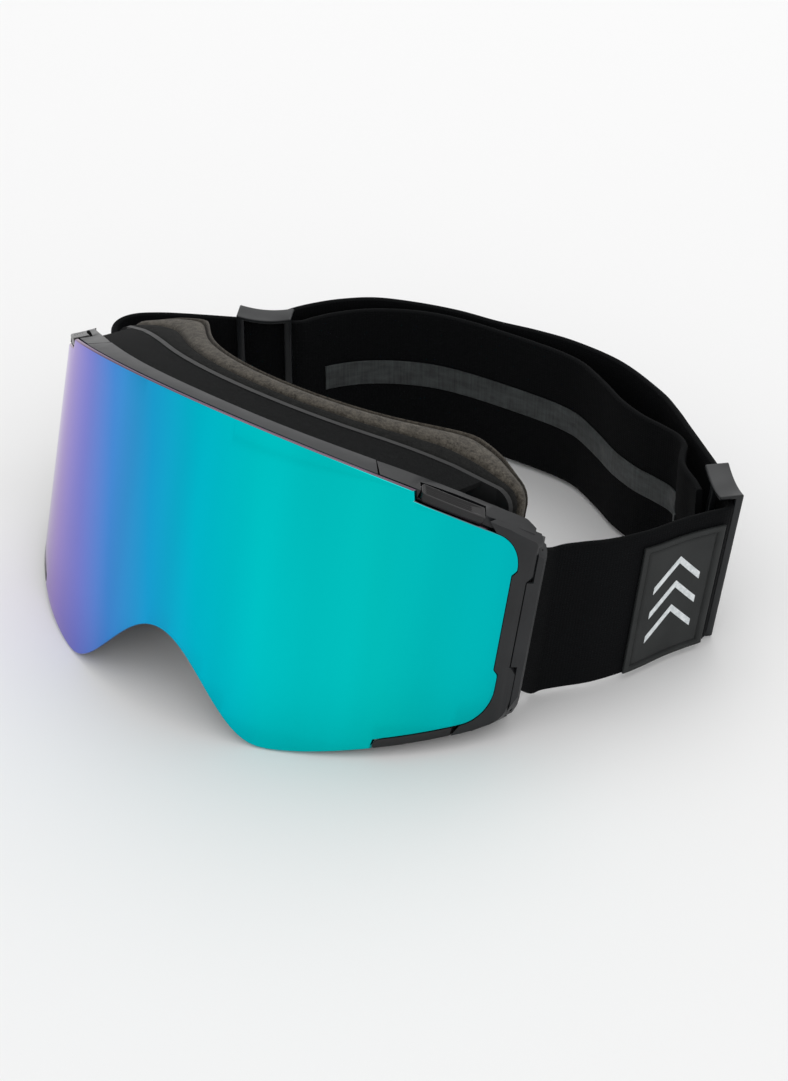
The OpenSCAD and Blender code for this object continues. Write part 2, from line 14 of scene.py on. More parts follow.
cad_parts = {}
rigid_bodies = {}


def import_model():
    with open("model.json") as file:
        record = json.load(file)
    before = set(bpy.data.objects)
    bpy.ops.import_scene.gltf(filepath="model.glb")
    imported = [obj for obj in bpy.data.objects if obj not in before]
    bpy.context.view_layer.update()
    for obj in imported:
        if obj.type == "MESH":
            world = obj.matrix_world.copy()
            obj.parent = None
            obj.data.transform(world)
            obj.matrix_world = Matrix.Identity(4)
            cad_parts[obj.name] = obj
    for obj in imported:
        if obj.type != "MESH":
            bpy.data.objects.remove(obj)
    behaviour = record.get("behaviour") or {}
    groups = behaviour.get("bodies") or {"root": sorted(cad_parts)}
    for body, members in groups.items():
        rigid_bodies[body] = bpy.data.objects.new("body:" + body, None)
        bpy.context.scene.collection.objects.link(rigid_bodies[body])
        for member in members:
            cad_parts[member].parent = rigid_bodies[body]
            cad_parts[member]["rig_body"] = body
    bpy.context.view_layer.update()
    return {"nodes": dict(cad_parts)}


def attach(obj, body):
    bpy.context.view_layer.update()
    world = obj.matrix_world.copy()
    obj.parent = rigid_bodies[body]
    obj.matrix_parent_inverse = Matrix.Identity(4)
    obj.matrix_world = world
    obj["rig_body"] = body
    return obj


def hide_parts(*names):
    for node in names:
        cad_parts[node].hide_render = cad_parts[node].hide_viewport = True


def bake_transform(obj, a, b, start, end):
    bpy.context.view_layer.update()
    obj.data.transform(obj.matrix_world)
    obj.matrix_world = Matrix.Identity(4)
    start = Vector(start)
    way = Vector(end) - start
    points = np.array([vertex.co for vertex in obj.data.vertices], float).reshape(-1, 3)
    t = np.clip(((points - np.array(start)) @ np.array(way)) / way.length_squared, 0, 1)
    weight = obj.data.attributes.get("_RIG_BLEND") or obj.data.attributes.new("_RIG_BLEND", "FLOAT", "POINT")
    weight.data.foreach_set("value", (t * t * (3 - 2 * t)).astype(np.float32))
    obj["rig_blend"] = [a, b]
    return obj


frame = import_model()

MM = 0.001

# ---------- driving sizes, in millimetres ----------

ORIGIN_X = 6.18
ORIGIN_Y = 94.34
LIFT = 0.55
LEAN = math.radians(14.5)

LENS_R = 102.8
LENS_TOP = 99.9
BROW_FALL = 6.8
NOSE_TOP = 27.3
NOSE_HALF = 38
CHEEK_LOW = 1.9
LENS_END = 104.5
LENS_T = 1.4
RIM_H = 3.0
STEP_ARC = 70.2
CORNER_R = 12.0
LOWER_SLOPE = 15   # degrees that the lower edge slopes at the outer corner
UPPER_SLOPE = 17   # degrees that the upper edge slopes there
NOTCH_IN = 1.5
NOTCH_LOW = 36.0
NOTCH_HIGH = 66.5
INNER_IN = 8.0     # from the edge of the outer lens to the edge of the inner one
INNER_FRONT = 4.4
INNER_REAR = 5.4

FOAM_HALF = 76.0
FOAM_W = 12.0
FOAM_DROP = 2.2
FOAM_LOW = 14.0
FOAM_NOSE_TOP = 38.0
FOAM_NOSE_HALF = 27.0

STRAP_W = 48.0
STRAP_T = 2.0
STRAP_Z = 1.6
POST_X = 81.6
POST_Y = 62.0
LOOP_LOW = 24.3
LOOP_HIGH = 70.2
LOOP_R = 3.1       # from the middle of the post to the middle of the band round it
STRIPE_LOW = 19.9
STRIPE_HIGH = 28.9
STRIPE_T = 0.7
STRIPE_OUT = STRAP_T / 2 + 0.2  # from the middle of the band to the middle of the stripe
PATCH_T = 1.2
PATCH_LOW = 0.5
PATCH_H = 42.6
PRINT_IN = 0.16    # how far the print lies below the border of the patch
PRINT_T = 0.2
SADDLE_FROM = 47.0  # height over which a slider rises towards its bars
EAR_RISE = 1.3
SLIDER_HALF = 9
SLIDER_OUT = (0.78, 0.62)  # direction in which a slider leans away from the head


# ---------- where things are ----------

def leaning(points):
    """Row positions, in metres, of points in the leaning frame of the goggles' front."""
    p = np.asarray(points, float)
    y = p[..., 1] * math.cos(LEAN) + p[..., 2] * math.sin(LEAN)
    z = p[..., 2] * math.cos(LEAN) - p[..., 1] * math.sin(LEAN)
    return np.stack([p[..., 0] - ORIGIN_X, y - ORIGIN_Y, z + LIFT], -1) * MM


def lying(points):
    """Row positions, in metres, of points in the upright frame of the strap."""
    return (np.asarray(points, float) - [ORIGIN_X, ORIGIN_Y, 0]) * MM


def top(s):
    """Height of the top edge of the lens at an arc position."""
    return LENS_TOP - BROW_FALL * (np.asarray(s, float) / 60) ** 2


def bottom(s):
    """Height of the bottom edge of the lens at an arc position: nose arch, then cheek."""
    a = np.abs(np.asarray(s, float))
    arch = CHEEK_LOW + (NOSE_TOP - CHEEK_LOW) * (1 + np.cos(np.pi * a / NOSE_HALF)) / 2
    cheek = CHEEK_LOW + 0.28 * (a - NOSE_HALF) ** 2 / (a - NOSE_HALF + 12)
    return np.where(a < NOSE_HALF, arch, cheek)


def across(s):
    """Distance across of an arc position on the lens."""
    return LENS_R * np.sin(np.asarray(s, float) / LENS_R)


def arc_at(x):
    """Arc position on the lens of a distance across."""
    return LENS_R * np.arcsin(np.asarray(x, float) / LENS_R)


def behind(x, depth=0.0):
    """Distance back of a point on the lens cylinder, by its distance across."""
    return LENS_R - np.sqrt((LENS_R - depth) ** 2 - np.asarray(x, float) ** 2)


def arc_then_line(x, radius, turn):
    """Depth of a plan curve that is round in the middle and straight beyond a turn in degrees."""
    a, t = np.abs(x), math.radians(turn)
    end = radius * math.sin(t)
    arc = radius - np.sqrt(np.maximum(radius ** 2 - np.minimum(a, end) ** 2, 0))
    return arc + np.maximum(a - end, 0) * math.tan(t)


def foam_front(x):
    """Depth at which the face foam starts, by distance across."""
    return np.minimum(25.5 + arc_then_line(x, 75, 32), 58)


def foam_back(x):
    """Depth at which the face foam ends, by distance across."""
    return np.minimum(39.5 + arc_then_line(x, 55, 48), 70.5 - 0.32 * np.maximum(np.abs(x) - 62, 0))


# ---------- mesh building ----------

def new_piece(name, vertices, faces, body, material, replaced=()):
    """A smooth-shaded mesh object that rides on a body and stands for CAD nodes."""
    mesh = bpy.data.meshes.new(name)
    mesh.from_pydata([tuple(v) for v in vertices], [], [tuple(int(i) for i in f) for f in faces])
    mesh.update()
    piece = bpy.data.objects.new(name, mesh)
    bpy.context.scene.collection.objects.link(piece)
    return finish_piece(piece, body, material, replaced)


def finish_piece(piece, body, material, replaced=(), angle=35):
    """Give a piece its material and shading, let it ride on its body and hide the CAD nodes that it replaces;
    edges over the angle stay sharp.
    """
    mesh = piece.data
    tidy = bmesh.new()
    tidy.from_mesh(mesh)
    bmesh.ops.recalc_face_normals(tidy, faces=tidy.faces)
    tidy.to_mesh(mesh)
    tidy.free()
    mesh.materials.clear()
    mesh.materials.append(material)
    mesh.shade_smooth()
    mesh.set_sharp_from_angle(angle=math.radians(angle))
    if body:
        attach(piece, body)
    if replaced:
        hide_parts(*replaced)
    return piece


def apply_modifiers(piece):
    """Turn a piece into the mesh that its modifiers make."""
    graph = bpy.context.evaluated_depsgraph_get()
    mesh = bpy.data.meshes.new_from_object(piece.evaluated_get(graph))
    piece.modifiers.clear()
    piece.data = mesh
    return piece


def grid_faces(rows, columns, closed=False):
    """Quads of a grid of points stored row after row; closed joins the last column to the first."""
    faces = []
    for i in range(rows - 1):
        for j in range(columns if closed else columns - 1):
            k = (j + 1) % columns
            faces.append((i * columns + j, i * columns + k, (i + 1) * columns + k, (i + 1) * columns + j))
    return faces


def outward(loop):
    """Outward normals of a counter-clockwise outline, longer at corners so that offsets keep their width."""
    ahead = np.roll(loop, -1, 0) - loop
    ahead /= np.maximum(np.linalg.norm(ahead, axis=1, keepdims=True), 1e-9)
    normal = np.stack([ahead[:, 1], -ahead[:, 0]], 1)
    mean = normal + np.roll(normal, 1, 0)
    mean /= np.maximum(np.linalg.norm(mean, axis=1, keepdims=True), 1e-9)
    return mean / np.maximum((mean * normal).sum(1, keepdims=True), 0.6)


def counter_clockwise(loop):
    """An outline in counter-clockwise order."""
    x, y = loop[:, 0], loop[:, 1]
    area = (x * np.roll(y, -1) - y * np.roll(x, -1)).sum()
    return loop if area > 0 else loop[::-1]


def cut_sheet(loop, cell_u, cell_v):
    """A flat outline filled with a net of faces: its points, faces and the order of its edge points."""
    net = bmesh.new()
    corners = [net.verts.new((u, v, 0)) for u, v in loop]
    net.faces.new(corners)
    low, high = loop.min(0), loop.max(0)
    for axis, cell in ((0, cell_u), (1, cell_v)):
        for at in np.arange(math.ceil(low[axis] / cell) * cell, high[axis], cell):
            place = [0.0, 0.0, 0.0]
            normal = [0.0, 0.0, 0.0]
            place[axis] = at + 1e-4
            normal[axis] = 1.0
            parts = net.verts[:] + net.edges[:] + net.faces[:]
            bmesh.ops.bisect_plane(net, geom=parts, plane_co=place, plane_no=normal, dist=1e-5)
    net.verts.index_update()
    points = np.array([v.co[:2] for v in net.verts])
    faces = [[v.index for v in f.verts] for f in net.faces]
    border = {}
    for face in net.faces:
        for edge_loop in face.loops:
            if edge_loop.edge.is_boundary:
                border[edge_loop.vert.index] = edge_loop.link_loop_next.vert.index
    start = next(iter(border))
    order = [start]
    while border[order[-1]] != start:
        order.append(border[order[-1]])
    net.free()
    return points, faces, order


def plate(outline, place, front, rear, edge=0.3, cell=(2.0, 6.0), steps=3):
    """Points and faces of a plate with rounded edges. place(u, v, depth) bends its flat net to shape."""
    loop = counter_clockwise(np.asarray(outline, float))
    points, faces, order = cut_sheet(loop - outward(loop) * edge, *cell)
    rim = points[order]
    out = outward(rim)
    count = len(points)
    layers = [place(points[:, 0], points[:, 1], np.full(count, front))]
    rings = []
    for k in range(1, steps + 1):
        a = math.pi / 2 * k / steps
        rings.append((edge * math.sin(a), front + edge * (1 - math.cos(a))))
    for k in range(steps, 0, -1):
        a = math.pi / 2 * k / steps
        rings.append((edge * math.sin(a), rear - edge * (1 - math.cos(a))))
    for grow, depth in rings:
        ring = rim + out * grow
        layers.append(place(ring[:, 0], ring[:, 1], np.full(len(ring), depth)))
    layers.append(place(points[:, 0], points[:, 1], np.full(count, rear)))
    m = len(order)
    all_faces = [list(f) for f in faces]
    starts = [count + m * k for k in range(len(rings))]
    last = count + m * len(rings)
    loops = [order] + [list(range(s, s + m)) for s in starts] + [[last + i for i in order]]
    for a, b in zip(loops[:-1], loops[1:]):
        for i in range(m):
            j = (i + 1) % m
            all_faces.append([a[i], b[i], b[j], a[j]])
    all_faces += [[last + i for i in f][::-1] for f in faces]
    return np.concatenate(layers), all_faces


# ---------- materials ----------

def linear(*rgb):
    """Colour of 0 to 255 screen values as the linear values that shaders use."""
    return tuple(((c / 255 + 0.055) / 1.055) ** 2.4 if c > 10 else c / 255 / 12.92 for c in rgb) + (1.0,)


class Material:
    """A Principled material with short ways to add nodes."""

    def __init__(self, name, color, roughness, metallic=0.0, **sockets):
        self.material = bpy.data.materials.new(name)
        self.material.use_nodes = True
        self.tree = self.material.node_tree
        self.shader = self.tree.nodes["Principled BSDF"]
        self.set("Base Color", linear(*color))
        self.set("Roughness", roughness)
        self.set("Metallic", metallic)
        for socket, value in sockets.items():
            self.set(socket.replace("_", " "), value)
        self.normal = None

    def set(self, socket, value):
        self.shader.inputs[socket].default_value = value

    def add(self, kind, inputs=None, **settings):
        node = self.tree.nodes.new(kind)
        for key, value in settings.items():
            setattr(node, key, value)
        used = {socket.name: socket for socket in reversed(node.inputs) if socket.enabled}
        for key, value in (inputs or {}).items():
            if isinstance(value, bpy.types.NodeSocket):
                self.tree.links.new(value, used[key])
            else:
                used[key].default_value = value
        return node

    def link(self, output, socket):
        self.tree.links.new(output, self.shader.inputs[socket])

    def place(self):
        return self.add("ShaderNodeTexCoord").outputs["Object"]

    def uv(self):
        return self.add("ShaderNodeTexCoord").outputs["UV"]

    def stretched(self, vector, scale):
        return self.add("ShaderNodeMapping", {"Vector": vector, "Scale": scale}).outputs["Vector"]

    def noise(self, vector, scale, detail=3.0, roughness=0.55):
        return self.add("ShaderNodeTexNoise", {"Vector": vector, "Scale": scale, "Detail": detail,
                                               "Roughness": roughness}).outputs["Fac"]

    def math(self, operation, a, b=0.0):
        node = self.add("ShaderNodeMath", operation=operation)
        for i, value in enumerate((a, b)):
            if isinstance(value, bpy.types.NodeSocket):
                self.tree.links.new(value, node.inputs[i])
            else:
                node.inputs[i].default_value = value
        return node.outputs[0]

    def ramp(self, factor, stops):
        node = self.add("ShaderNodeValToRGB", {"Fac": factor})
        ramp = node.color_ramp
        while len(ramp.elements) > 1:
            ramp.elements.remove(ramp.elements[-1])
        ramp.elements[0].position, ramp.elements[0].color = stops[0][0], linear(*stops[0][1])
        for position, color in stops[1:]:
            ramp.elements.new(position).color = linear(*color)
        return node.outputs["Color"]

    def mottle(self, factor, dark, light, low=0.35, high=0.65):
        """Base colour that varies between two shades with a 0 to 1 factor."""
        self.link(self.ramp(factor, [(low, dark), (high, light)]), "Base Color")

    def range(self, factor, low, high, socket):
        node = self.add("ShaderNodeMapRange", {"Value": factor, "To Min": low, "To Max": high})
        self.link(node.outputs["Result"], socket)

    def bump(self, height, strength, distance):
        inputs = {"Height": height, "Strength": strength, "Distance": distance}
        if self.normal is not None:
            inputs["Normal"] = self.normal
        self.normal = self.add("ShaderNodeBump", inputs).outputs["Normal"]
        self.link(self.normal, "Normal")


def plastic(name, dark, light, roughness):
    """Moulded plastic with a fine spark-eroded grain, faint cloudiness and rubbed patches."""
    m = Material(name, light, roughness, Specular_IOR_Level=0.35)
    cloud = m.noise(m.place(), 90, 4)
    m.mottle(cloud, dark, light)
    m.range(m.noise(m.place(), 160, 3), roughness - 0.06, roughness + 0.08, "Roughness")
    m.bump(m.noise(m.place(), 2600, 2), 0.25, 0.00006)
    return m.material


def lens_material():
    """Mirror coating with painted reflection colour: a tint from violet through blue to turquoise across the
    lens, faint painted reflection bands and a painted highlight on upward-facing edges.
    """
    m = Material("lens_mirror", (0, 188, 188), 0.14, 1.0)
    m.set("Specular Tint", linear(236, 226, 242))
    # Painted reflection tint: the base colour runs from violet through blue to turquoise by position across
    # the lens, in place of the colour shift that the mirror coating shows at grazing angles.
    axes = m.add("ShaderNodeSeparateXYZ", {"Vector": m.place()})
    x, z = axes.outputs["X"], axes.outputs["Z"]
    tilt = m.math("MULTIPLY", z, 0.16)
    shifted = m.math("ADD", x, tilt)
    painted_tint_share = m.add("ShaderNodeMapRange", {"Value": shifted, "From Min": -0.086, "From Max": 0.100})
    drift = m.math("MULTIPLY", m.math("SUBTRACT", m.noise(m.place(), 14, 2), 0.5), 0.035)
    factor = m.math("ADD", painted_tint_share.outputs["Result"], drift)
    color = m.ramp(factor, [
        (0.0, (196, 190, 210)), (0.06, (176, 158, 212)), (0.14, (156, 140, 212)), (0.24, (122, 134, 220)),
        (0.33, (66, 144, 222)), (0.43, (22, 166, 220)), (0.53, (0, 190, 212)), (0.64, (0, 202, 206)),
        (0.80, (2, 198, 196)), (1.0, (0, 186, 194))])
    # Painted reflection: faint vertical bands make the coating's colour a little darker in places, standing
    # in for reflected surroundings.
    painted_reflection_bands = m.noise(m.stretched(m.place(), (1, 0.2, 0.04)), 55, 1.5)
    shade = m.add("ShaderNodeMapRange", {"Value": painted_reflection_bands, "From Min": 0.3, "From Max": 0.7,
                                         "To Min": 0.90, "To Max": 1.0})
    with_painted_reflections = m.add("ShaderNodeHueSaturation", {"Color": color, "Value": shade.outputs["Result"]})
    # Painted highlight: faces that point upwards, as along the lens's top edge, are mixed to a pinkish grey.
    facing = m.add("ShaderNodeSeparateXYZ", {"Vector": m.add("ShaderNodeNewGeometry").outputs["True Normal"]})
    edge = m.add("ShaderNodeMapRange", {"Value": facing.outputs["Z"], "From Min": 0.5, "From Max": 0.8})
    painted_top_highlight = m.add("ShaderNodeMix", {"Factor": edge.outputs["Result"], "A": with_painted_reflections.outputs["Color"],
                                  "B": linear(112, 92, 104)}, data_type="RGBA")
    m.link(next(o for o in painted_top_highlight.outputs if o.enabled), "Base Color")
    return m.material


def clear_material():
    """Clear anti-fog plastic."""
    m = Material("clear_lens", (190, 205, 210), 0.08)
    m.set("Alpha", 0.35)
    m.range(m.noise(m.place(), 220, 3), 0.05, 0.12, "Roughness")
    return m.material


def foam_material(name, dark, light, pore=1500, strength=0.9, sheen=0.08):
    """Open-cell foam: pores in two sizes, with painted shade that darkens them where they are deep."""
    m = Material(name, light, 0.95, Sheen_Weight=sheen, Sheen_Roughness=0.6, Specular_IOR_Level=0.15)
    fine = m.noise(m.place(), pore, 5, 0.7)
    coarse = m.noise(m.place(), pore * 0.28, 4, 0.6)
    both = m.math("ADD", m.math("MULTIPLY", fine, 0.6), m.math("MULTIPLY", coarse, 0.4))
    # Painted shade: the noise that dents the surface also sets its colour, so the pores are darker where they
    # are deep.
    m.mottle(both, dark, light, 0.38, 0.62)
    m.bump(coarse, strength * 0.6, 0.0004)
    m.bump(fine, strength, 0.0003)
    return m.material


def webbing_material(name, dark, light):
    """Woven elastic: ribs across the strap over fine yarns along it, with stray lighter fibres."""
    m = Material(name, light, 0.9, Specular_IOR_Level=0.12)
    uv = m.uv()
    ribs = m.add("ShaderNodeTexWave", {"Vector": m.stretched(uv, (1, 0, 0)), "Scale": 0.33,
                                       "Distortion": 0.3, "Detail": 1.0}, bands_direction="X")
    yarns = m.add("ShaderNodeTexWave", {"Vector": m.stretched(uv, (0, 1, 0)), "Scale": 0.42,
                                        "Distortion": 0.4, "Detail": 1.0}, bands_direction="Y")
    streaks = m.noise(m.stretched(uv, (0.25, 5.0, 1)), 1.0, 3, 0.6)
    weave = m.math("MULTIPLY", ribs.outputs["Fac"], yarns.outputs["Fac"])
    shade = m.math("ADD", m.math("MULTIPLY", streaks, 0.75), m.math("MULTIPLY", weave, 0.25))
    m.mottle(shade, dark, light, 0.3, 0.75)
    m.bump(weave, 0.5, 0.0002)
    m.bump(m.noise(m.place(), 1900, 3), 0.35, 0.0002)
    return m.material


def silicone_material():
    """Grey grip silicone with smears and streaks along the strap."""
    m = Material("silicone", (42, 46, 46), 0.42, Specular_IOR_Level=0.4)
    uv = m.uv()
    smear = m.noise(m.stretched(uv, (0.12, 0.35, 1)), 1.0, 5, 0.65)
    streaks = m.noise(m.stretched(uv, (0.9, 0.04, 1)), 1.0, 4, 0.7)
    both = m.math("ADD", m.math("MULTIPLY", smear, 0.5), m.math("MULTIPLY", streaks, 0.5))
    m.mottle(both, (22, 25, 26), (64, 69, 69), 0.38, 0.66)
    m.range(m.noise(m.stretched(uv, (0.3, 0.3, 1)), 1.0, 4), 0.3, 0.6, "Roughness")
    m.bump(smear, 0.3, 0.0003)
    return m.material


def rubber_material(name, dark, light, roughness):
    """Soft moulded rubber with a fine grain."""
    m = Material(name, light, roughness, Specular_IOR_Level=0.3)
    m.mottle(m.noise(m.place(), 120, 4), dark, light)
    m.range(m.noise(m.place(), 240, 3), roughness - 0.08, roughness + 0.1, "Roughness")
    m.bump(m.noise(m.place(), 3000, 2), 0.3, 0.00008)
    return m.material


def steel_material():
    """Brushed steel."""
    m = Material("steel", (150, 150, 152), 0.34, 1.0)
    m.range(m.noise(m.stretched(m.place(), (1, 1, 0.05)), 900, 3), 0.25, 0.45, "Roughness")
    return m.material


def paint_material():
    """The pale print on the patch."""
    m = Material("patch_print", (214, 218, 220), 0.55)
    m.mottle(m.noise(m.place(), 700, 3), (196, 202, 204), (226, 230, 232))
    m.bump(m.noise(m.place(), 2200, 2), 0.2, 0.00006)
    return m.material


LENS = lens_material()
CLEAR = clear_material()
FRAME_PLASTIC = plastic("frame_plastic", (34, 35, 37), (42, 43, 45), 0.42)
STRIP_PLASTIC = plastic("strip_plastic", (20, 21, 23), (26, 27, 29), 0.32)
COVER_PLASTIC = plastic("cover_plastic", (25, 26, 28), (31, 32, 34), 0.44)
TAB_PLASTIC = plastic("tab_plastic", (20, 19, 20), (27, 26, 27), 0.3)
RIM_PLASTIC = plastic("rim_plastic", (8, 9, 10), (13, 14, 15), 0.5)
SLIDER_PLASTIC = plastic("slider_plastic", (18, 20, 22), (26, 28, 30), 0.34)
STEEL = steel_material()
BASE_FOAM = foam_material("base_foam", (12, 13, 13), (29, 29, 28), sheen=0.0)
CUSHION_FOAM = foam_material("cushion_foam", (44, 41, 36), (92, 87, 79))
FLEECE = foam_material("fleece", (42, 39, 35), (86, 81, 73), pore=2300, strength=0.7)
VENT_FOAM = foam_material("vent_foam", (5, 6, 6), (17, 18, 19), pore=2400, strength=0.6, sheen=0.0)
WEBBING = webbing_material("webbing", (3, 4, 5), (11, 12, 14))
SILICONE = silicone_material()
PATCH_RUBBER = rubber_material("patch_rubber", (30, 32, 32), (38, 40, 40), 0.6)
PRINT = paint_material()


# ---------- lens ----------

def arc_points(cx, cy, radius, start, end, count=14):
    """Points along an arc between two angles in degrees."""
    a = np.radians(np.linspace(start, end, count + 1))
    return np.stack([cx + radius * np.cos(a), cy + radius * np.sin(a)], 1)


def lens_half(grow, inset, notched=True):
    """Half of the lens outline as arc position and height, from the nose round to the brow."""
    end, r = LENS_END + grow, CORNER_R + grow
    centre = end - r
    step = STEP_ARC + min(grow, 0) / 2
    low = float(bottom(centre)) + RIM_H - grow + r / math.cos(math.radians(LOWER_SLOPE))
    high = float(top(centre)) - RIM_H + grow - r / math.cos(math.radians(UPPER_SLOPE))
    nose = np.arange(0, step - 1, 1.5)
    rail = np.arange(step + 4, centre - 4, 3.0)
    pieces = [
        np.stack([nose, bottom(nose) + inset], 1),
        [[step, float(bottom(step)) + inset], [step + 0.5, float(bottom(step)) + RIM_H - grow]],
        np.stack([rail, bottom(rail) + RIM_H - grow], 1),
        arc_points(centre, low, r, LOWER_SLOPE - 90, 0)]
    if notched:
        pieces.append([[end, NOTCH_LOW - NOTCH_IN + grow - 0.8], [end - 0.3, NOTCH_LOW - NOTCH_IN + grow],
                       [end - NOTCH_IN, NOTCH_LOW + grow], [end - NOTCH_IN, NOTCH_HIGH - grow],
                       [end - 0.3, NOTCH_HIGH + NOTCH_IN - grow - 0.4]])
    pieces += [
        arc_points(centre, high, r, 0, 90 - UPPER_SLOPE),
        np.stack([rail[::-1], top(rail[::-1]) - RIM_H + grow], 1),
        [[step + 0.5, float(top(step)) - RIM_H + grow], [step, float(top(step)) - inset]],
        np.stack([nose[::-1], top(nose[::-1]) - inset], 1)]
    return np.concatenate([np.asarray(p, float) for p in pieces])


def both_sides(half):
    """A whole outline from its half at positive positions."""
    other = half[::-1].copy()
    other = other[other[:, 0] > 0.01] * [-1, 1]
    return np.concatenate([half, other])


def on_cylinder(s, h, depth):
    """Row positions of points on the lens by arc position, height and depth behind its face."""
    x = across(s)
    return leaning(np.stack([x, behind(x, depth), h], -1))


def outer_lens():
    points, faces = plate(both_sides(lens_half(0, 0)), on_cylinder, 0, LENS_T, edge=0.35, cell=(1.6, 9.0))
    return new_piece("lens_visor", points, faces, "lens", LENS, ["outer_lens"])


def inner_lens():
    outline = both_sides(lens_half(-INNER_IN, INNER_IN, notched=False))
    points, faces = plate(outline, on_cylinder, INNER_FRONT, INNER_REAR, edge=0.25, cell=(2.5, 12.0), steps=2)
    return new_piece("inner_visor", points, faces, "lens", CLEAR, ["inner_lens"])


# ---------- moulded parts, rounded from their CAD solids ----------

WELD = 2e-6          # distance in metres under which points are joined
FLAT_ANGLE = 0.6     # degrees under which neighbouring faces count as one flat face
BEVEL_ANGLE = 24     # degrees over which an edge is rounded
BEVEL_STEPS = 3


def moulded(node, name, radius, material):
    """A copy of a CAD node with its edges rounded, in place of the sharp one."""
    source = frame["nodes"][node]
    mesh = source.data.copy()
    welded = bmesh.new()
    welded.from_mesh(mesh)
    bmesh.ops.remove_doubles(welded, verts=welded.verts, dist=WELD)
    bmesh.ops.dissolve_degenerate(welded, edges=welded.edges, dist=WELD)
    flat = math.radians(FLAT_ANGLE)
    bmesh.ops.dissolve_limit(welded, verts=welded.verts, edges=welded.edges, angle_limit=flat)
    welded.to_mesh(mesh)
    welded.free()
    for attribute in list(mesh.attributes):
        if attribute.name in ("custom_normal", "sharp_edge", "sharp_face"):
            mesh.attributes.remove(attribute)
    piece = bpy.data.objects.new(name, mesh)
    bpy.context.scene.collection.objects.link(piece)
    bevel = piece.modifiers.new("rounding", "BEVEL")
    bevel.width = radius * MM
    bevel.segments = BEVEL_STEPS
    bevel.limit_method = "ANGLE"
    bevel.angle_limit = math.radians(BEVEL_ANGLE)
    bevel.use_clamp_overlap = True
    bevel.harden_normals = False
    apply_modifiers(piece)
    return finish_piece(piece, source["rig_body"], material, [node], angle=30)


def moulded_parts():
    moulded("main_frame", "frame_shell", 0.35, FRAME_PLASTIC)
    for side in ("left", "right"):
        moulded(f"end_frame_{side}", f"end_shell_{side}", 0.3, STRIP_PLASTIC)
        moulded(f"side_cover_{side}", f"cover_shell_{side}", 0.4, COVER_PLASTIC)
        moulded(f"lower_catch_{side}", f"catch_{side}", 0.4, TAB_PLASTIC)
        release_tab(side)
        tab_coil(side)


TAB_ARC = 82.4
TAB_HALF = 10.1
TAB_DEEP = 5.0
RAMP_FROM = 5.8
TAB_T = 2.8
TAB_CORNER = 0.5
TAB_ROUND = 1.6     # corner radius at the inner end of the tab
TAB_TAPER = 2.0     # length over which the inner end thins out
TAB_SAG = 0.0019    # fall of the tab towards its ends, per square millimetre
RECESS_DEEP = 0.38
RIB_DEEP = 0.12
RIB_PITCH = 0.8
RIB_FROM = 1.3
COIL_TURNS = 9
COIL_HALF = 2.1
COIL_R = 0.72
WIRE_R = 0.16
HINGE_Y = 4.3
HINGE_Z = -1.4
TAB_SLOPE = math.radians(17.15)
TAB_TILT = math.radians(17.4)


def turned(a, b, angle):
    """Two coordinates after a turn from the first towards the second."""
    return a * math.cos(angle) - b * math.sin(angle), a * math.sin(angle) + b * math.cos(angle)


def at_tab(x, y, z, mirrored):
    """Row positions of points given along, behind and above the brow edge where a release tab sits."""
    y, z = turned(y, z, TAB_TILT)
    z, x = turned(z, x, TAB_SLOPE)
    x, y = turned(x, y, TAB_ARC / LENS_R)
    x = x + float(across(TAB_ARC))
    y = y + float(behind(across(TAB_ARC)))
    return leaning(np.stack([-x if mirrored else x, y, z + float(top(TAB_ARC))], -1))


def tab_relief(x, y):
    """Depth of the finger recess in a tab: fine ribs along it and a ramp at its temple end."""
    ends = np.interp(x, [-9.2, -8.6, RAMP_FROM, 9.0], [0, 1, 1, 0])
    sides = np.interp(y, [0.85, 1.15, 4.1, 4.4], [0, 1, 1, 0])
    ribs = RIB_DEEP * np.cos(2 * np.pi * (y - RIB_FROM) / RIB_PITCH)
    return ends * sides * (RECESS_DEEP + ribs * (x < RAMP_FROM))


def release_tab(side):
    """A lens release tab with its ribbed finger recess, thinner towards its rounded inner end."""
    half, deep, c, r = TAB_HALF, TAB_DEEP, TAB_CORNER, TAB_ROUND
    outline = np.concatenate([
        arc_points(half - c, c, c, -90, 0, 4), arc_points(half - c, deep - c, c, 0, 90, 4),
        arc_points(r - half, deep - r, r, 90, 180, 8), arc_points(r - half, r, r, 180, 270, 8)])

    def place(x, y, depth):
        recess = np.where(depth <= 0, tab_relief(x, y), 0)
        sag = TAB_SAG * x ** 2
        beyond = np.clip((TAB_TAPER - half - x) / TAB_TAPER, 0, 1)
        thin = np.sqrt(1 - 0.9 * beyond ** 2)
        return at_tab(x, y + x ** 2 / (2 * LENS_R), 0.05 - sag - depth * thin - recess, side == "right")

    points, faces = plate(outline, place, 0, TAB_T, edge=0.3, cell=(0.3, 0.16))
    new_piece(f"tab_lever_{side}", points, faces, f"tab_{side}", TAB_PLASTIC,
              [f"release_tab_{side}"])


def tab_coil(side):
    """The wire spring that closes a tab, wound round its hinge pin."""
    steps, around = 160, 8
    share = np.linspace(0, 1, steps)
    turn = share * 2 * np.pi * COIL_TURNS
    a = np.linspace(0, 2 * np.pi, around, endpoint=False)
    reach = COIL_R + WIRE_R * np.cos(a)[None, :] + 0 * turn[:, None]
    x = (2 * share[:, None] - 1) * COIL_HALF + WIRE_R * np.sin(a)[None, :]
    y = HINGE_Y + reach * np.cos(turn)[:, None]
    z = HINGE_Z + reach * np.sin(turn)[:, None]
    points = at_tab(x, y, z, side == "right").reshape(-1, 3)
    faces = grid_faces(steps, around, closed=True)
    faces += [tuple(range(around)), tuple((steps - 1) * around + i for i in range(around))[::-1]]
    node = f"tab_spring_{side}"
    new_piece(f"tab_coil_{side}", points, faces, frame["nodes"][node]["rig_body"], STEEL, [node])


